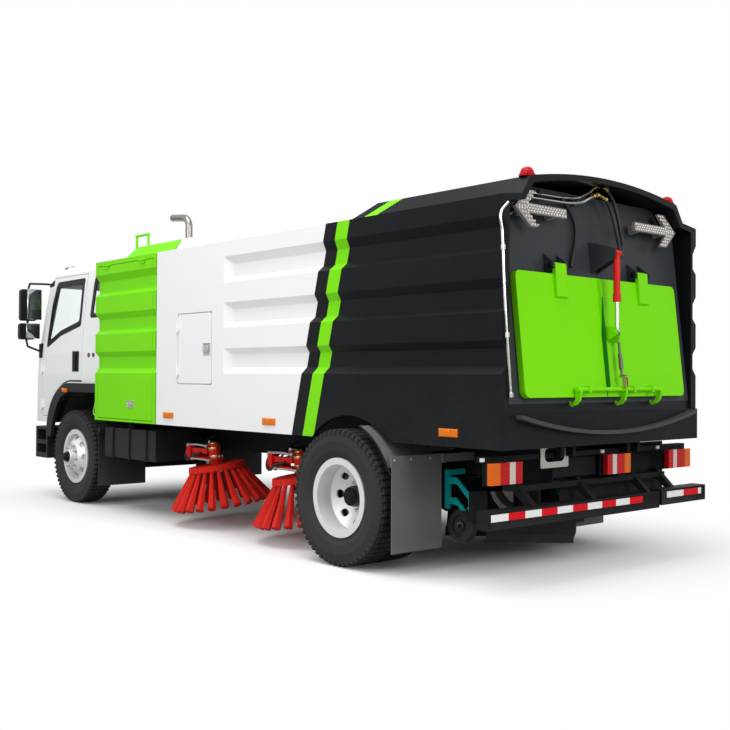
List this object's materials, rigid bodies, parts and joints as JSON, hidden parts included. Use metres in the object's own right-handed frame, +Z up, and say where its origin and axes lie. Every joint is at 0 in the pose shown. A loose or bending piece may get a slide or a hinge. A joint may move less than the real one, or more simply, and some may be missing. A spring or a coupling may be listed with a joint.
{
  "type": "street sweeper truck",
  "caption": "Two-axle street sweeper truck with a tilting cab, ribbed tipping hopper, rear discharge door, side brooms and a suction nozzle.",
  "frame": {"origin": "on the road, under the middle of the truck's length and width", "axes": "+X forward, +Y to the truck's left, +Z up"},
  "size_m": [7.6215, 2.54, 3.1577],
  "materials": {
    "tyre_rubber": "matt black rubber",
    "wheel_silver": "silver-white paint",
    "chassis_black": "satin black paint",
    "engine_iron": "dull cast iron",
    "black_plastic": "dark moulded plastic",
    "body_paint": "gloss white paint with a green stripe and a near-black rear part",
    "green_paint": "gloss lime green paint",
    "white_paint": "gloss white paint",
    "clear_glass": "tinted clear glass",
    "lamp_clear": "clear lens",
    "lamp_red": "red, amber and white lenses",
    "steel_bright": "bright plated steel",
    "nozzle_steel": "teal paint",
    "red_paint": "gloss red paint",
    "broom_fibre": "red-orange bristles",
    "castor_rubber": "solid rubber"
  },
  "bodies": {
    "chassis": {"chassis_frame": "chassis_black", "rear_axle": "chassis_black", "front_axle": "chassis_black", "truck_engine": "engine_iron", "side_tanks": "black_plastic", "mudguards": "black_plastic", "front_bumper": "black_plastic", "rear_bumper": "chassis_black", "tail_lamps": "lamp_red", "engine_compartment": "green_paint", "sweeping_engine": "engine_iron", "exhaust_pipe": "steel_bright", "suction_nozzle": "nozzle_steel"},
    "knuckle_left": {"knuckle_left": "chassis_black"},
    "knuckle_right": {"knuckle_right": "chassis_black"},
    "wheel_front_left": {"wheel_front_left": "wheel_silver", "tyre_front_left": "tyre_rubber"},
    "wheel_front_right": {"wheel_front_right": "wheel_silver", "tyre_front_right": "tyre_rubber"},
    "wheels_rear_left": {"wheels_rear_left": "wheel_silver", "tyres_rear_left": "tyre_rubber"},
    "wheels_rear_right": {"wheels_rear_right": "wheel_silver", "tyres_rear_right": "tyre_rubber"},
    "cab": {"cab_shell": "white_paint", "cab_glass": "clear_glass", "cab_interior": "black_plastic", "cab_trim": "black_plastic", "head_lamps": "lamp_clear", "mirrors": "black_plastic"},
    "cab_door_left": {"cab_door_left": "white_paint", "door_glass_left": "clear_glass"},
    "cab_door_right": {"cab_door_right": "white_paint", "door_glass_right": "clear_glass"},
    "compartment_door_left": {"compartment_door_left": "green_paint"},
    "compartment_door_right": {"compartment_door_right": "green_paint"},
    "body": {"body_shell": "body_paint", "rear_wall": "body_paint", "arrow_boards": "black_plastic", "beacons": "lamp_red", "hydraulic_lines": "steel_bright"},
    "access_door": {"access_door": "green_paint"},
    "discharge_door": {"discharge_door": "green_paint"},
    "lock_shaft": {"lock_shaft": "green_paint"},
    "lock_pull_link": {"lock_pull_link": "steel_bright"},
    "door_cylinder_barrel": {"door_cylinder_barrel": "red_paint"},
    "door_cylinder_rod": {"door_cylinder_rod": "steel_bright"},
    "hoist_barrel": {"hoist_barrel": "chassis_black"},
    "hoist_rod": {"hoist_rod": "steel_bright"},
    "nozzle_castor_left": {"nozzle_castor_left": "castor_rubber"},
    "nozzle_castor_right": {"nozzle_castor_right": "castor_rubber"},
    "broom_arm_front_left": {"broom_arm_front_left": "red_paint"},
    "broom_front_left": {"broom_front_left": "broom_fibre"},
    "broom_arm_front_right": {"broom_arm_front_right": "red_paint"},
    "broom_front_right": {"broom_front_right": "broom_fibre"},
    "broom_arm_rear_left": {"broom_arm_rear_left": "red_paint"},
    "broom_rear_left": {"broom_rear_left": "broom_fibre"},
    "broom_arm_rear_right": {"broom_arm_rear_right": "red_paint"},
    "broom_rear_right": {"broom_rear_right": "broom_fibre"}
  },
  "joints": [
    {"name": "steer_left", "type": "hinge", "parent": "chassis", "child": "knuckle_left", "pos_m": [2.615, 0.8, 0.509], "axis": [0, 0, 1], "range_deg": [-32, 32]},
    {"name": "front_wheel_spin_left", "type": "hinge", "parent": "knuckle_left", "child": "wheel_front_left", "pos_m": [2.615, 0.925, 0.509], "axis": [0, 1, 0], "continuous": true},
    {"name": "rear_wheels_spin_left", "type": "hinge", "parent": "chassis", "child": "wheels_rear_left", "pos_m": [-2.185, 1.14, 0.509], "axis": [0, 1, 0], "continuous": true},
    {"name": "steer_right", "type": "hinge", "parent": "chassis", "child": "knuckle_right", "pos_m": [2.615, -0.8, 0.509], "axis": [0, 0, 1], "range_deg": [-32, 32]},
    {"name": "front_wheel_spin_right", "type": "hinge", "parent": "knuckle_right", "child": "wheel_front_right", "pos_m": [2.615, -0.925, 0.509], "axis": [0, 1, 0], "continuous": true},
    {"name": "rear_wheels_spin_right", "type": "hinge", "parent": "chassis", "child": "wheels_rear_right", "pos_m": [-2.185, -1.14, 0.509], "axis": [0, 1, 0], "continuous": true},
    {"name": "cab_tilt", "type": "hinge", "parent": "chassis", "child": "cab", "pos_m": [3.735, 0, 0.868], "axis": [0, 1, 0], "range_deg": [0, 45]},
    {"name": "cab_door_left_swing", "type": "hinge", "parent": "cab", "child": "cab_door_left", "pos_m": [3.492, 1.041, 1.27], "axis": [0, 0, -1], "range_deg": [0, 70]},
    {"name": "compartment_door_left_swing", "type": "hinge", "parent": "chassis", "child": "compartment_door_left", "pos_m": [1.292, 1.16, 2.537], "axis": [1, 0, 0], "range_deg": [0, 80]},
    {"name": "cab_door_right_swing", "type": "hinge", "parent": "cab", "child": "cab_door_right", "pos_m": [3.492, -1.041, 1.27], "axis": [0, 0, 1], "range_deg": [0, 70]},
    {"name": "compartment_door_right_swing", "type": "hinge", "parent": "chassis", "child": "compartment_door_right", "pos_m": [1.292, -1.16, 2.537], "axis": [-1, 0, 0], "range_deg": [0, 80]},
    {"name": "body_tip", "type": "hinge", "parent": "chassis", "child": "body", "pos_m": [-3.647, 0, 0.968], "axis": [0, -1, 0], "range_deg": [0, 45]},
    {"name": "access_door_swing", "type": "hinge", "parent": "body", "child": "access_door", "pos_m": [0.257, 1.16, 1.654], "axis": [0, 0, -1], "range_deg": [0, 110]},
    {"name": "discharge_door_swing", "type": "hinge", "parent": "body", "child": "discharge_door", "pos_m": [-3.62623, 0, 2.17575], "axis": [0, 1, 0], "range_deg": [0, 60]},
    {"name": "door_cylinder_swing", "type": "hinge", "parent": "body", "child": "door_cylinder_barrel", "pos_m": [-3.75699, 0, 2.2913], "axis": [0, 1, 0], "range_deg": [-2, 60]},
    {"name": "door_cylinder_stroke", "type": "slide", "parent": "door_cylinder_barrel", "child": "door_cylinder_rod", "axis": [-0.0102, 0, -0.9999], "range_m": [-0.18, 0]},
    {"name": "lock_turn", "type": "hinge", "parent": "discharge_door", "child": "lock_shaft", "pos_m": [-3.75802, 0, 1.32822], "axis": [0, 1, 0], "range_deg": [0, 35]},
    {"name": "lock_pull", "type": "slide", "parent": "discharge_door", "child": "lock_pull_link", "axis": [0.1132, 0, 0.9936], "range_m": [0, 0.034]},
    {"name": "broom_arm_front_left_swing", "type": "hinge", "parent": "chassis", "child": "broom_arm_front_left", "pos_m": [0.645, 0.52, 0.7], "axis": [0, 0, -1], "range_deg": [0, 35]},
    {"name": "broom_front_left_spin", "type": "hinge", "parent": "broom_arm_front_left", "child": "broom_front_left", "pos_m": [0.215, 0.74, 0.545], "axis": [0.1033, 0.1174, 0.9877], "continuous": true},
    {"name": "broom_arm_front_right_swing", "type": "hinge", "parent": "chassis", "child": "broom_arm_front_right", "pos_m": [0.645, -0.52, 0.7], "axis": [0, 0, 1], "range_deg": [0, 35]},
    {"name": "broom_front_right_spin", "type": "hinge", "parent": "broom_arm_front_right", "child": "broom_front_right", "pos_m": [0.215, -0.74, 0.545], "axis": [0.1033, -0.1174, 0.9877], "continuous": true},
    {"name": "broom_arm_rear_left_swing", "type": "hinge", "parent": "chassis", "child": "broom_arm_rear_left", "pos_m": [-0.685, 0.52, 0.7], "axis": [0, 0, -1], "range_deg": [0, 35]},
    {"name": "broom_rear_left_spin", "type": "hinge", "parent": "broom_arm_rear_left", "child": "broom_rear_left", "pos_m": [-1.115, 0.74, 0.545], "axis": [0.1033, 0.1174, 0.9877], "continuous": true},
    {"name": "broom_arm_rear_right_swing", "type": "hinge", "parent": "chassis", "child": "broom_arm_rear_right", "pos_m": [-0.685, -0.52, 0.7], "axis": [0, 0, 1], "range_deg": [0, 35]},
    {"name": "broom_rear_right_spin", "type": "hinge", "parent": "broom_arm_rear_right", "child": "broom_rear_right", "pos_m": [-1.115, -0.74, 0.545], "axis": [0.1033, -0.1174, 0.9877], "continuous": true},
    {"name": "nozzle_castor_left_spin", "type": "hinge", "parent": "chassis", "child": "nozzle_castor_left", "pos_m": [-2.825, 0.58007, 0.31337], "axis": [0, 0.9942, 0.108], "continuous": true},
    {"name": "nozzle_castor_right_spin", "type": "hinge", "parent": "chassis", "child": "nozzle_castor_right", "pos_m": [-2.825, -0.59303, 0.18593], "axis": [0, 0.9942, 0.108], "continuous": true},
    {"name": "hoist_swing", "type": "hinge", "parent": "chassis", "child": "hoist_barrel", "pos_m": [-2.885, 0, 0.79], "axis": [0, -1, 0], "range_deg": [0, 59.3]},
    {"name": "hoist_stroke", "type": "slide", "parent": "hoist_barrel", "child": "hoist_rod", "axis": [0.9907, 0, 0.1362], "range_m": [0, 0.429]}
  ],
  "couplings": [
    {"joint": "steer_right", "follows": "steer_left", "ratio": 1},
    {"joint": "door_cylinder_swing", "follows": "discharge_door_swing", "ratio": 0.918},
    {"joint": "door_cylinder_stroke", "follows": "discharge_door_swing", "m_per_rad": -0.1624},
    {"joint": "lock_pull", "follows": "lock_turn", "m_per_rad": 0.0534},
    {"joint": "hoist_swing", "follows": "body_tip", "ratio": 1.2964},
    {"joint": "hoist_stroke", "follows": "body_tip", "m_per_rad": 0.533}
  ]
}
